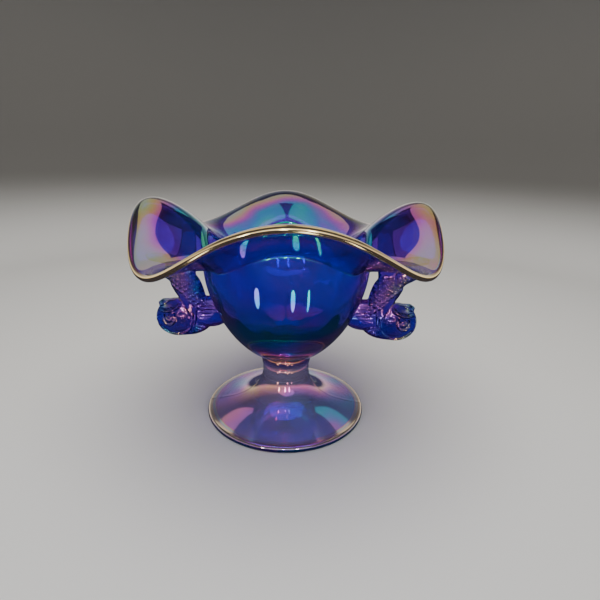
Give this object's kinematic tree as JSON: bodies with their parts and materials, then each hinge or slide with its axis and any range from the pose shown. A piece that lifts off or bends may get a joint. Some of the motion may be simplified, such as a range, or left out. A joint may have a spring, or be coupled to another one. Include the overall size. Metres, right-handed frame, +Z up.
{
  "type": "handled glass compote",
  "caption": "Footed glass compote with a flared ruffled rim, a short ringed stem, a domed round foot and a fish-shaped handle on each side.",
  "frame": {"origin": "middle of the foot's resting ring, on the surface that the compote stands on", "axes": "+Z up along the axis of the cup and foot, X through the two fish handles, -Y towards the front"},
  "size_m": [0.1709, 0.18, 0.1367],
  "materials": {
    "foot_glass": "cobalt glass with a milky violet iridescent top",
    "body_glass": "deep cobalt glass with a smooth iridescent lustre",
    "rim_glass": "cobalt glass with a strong rainbow lustre and a fire-polished, bronze-tinted lip",
    "handle_glass": "moulded cobalt glass with an iridescent lustre"
  },
  "bodies": {
    "root": {"foot": "foot_glass", "stem_ring": "body_glass", "cup": "body_glass", "ruffled_rim": "rim_glass", "left_fish_handle": "handle_glass", "right_fish_handle": "handle_glass"}
  },
  "joints": []
}
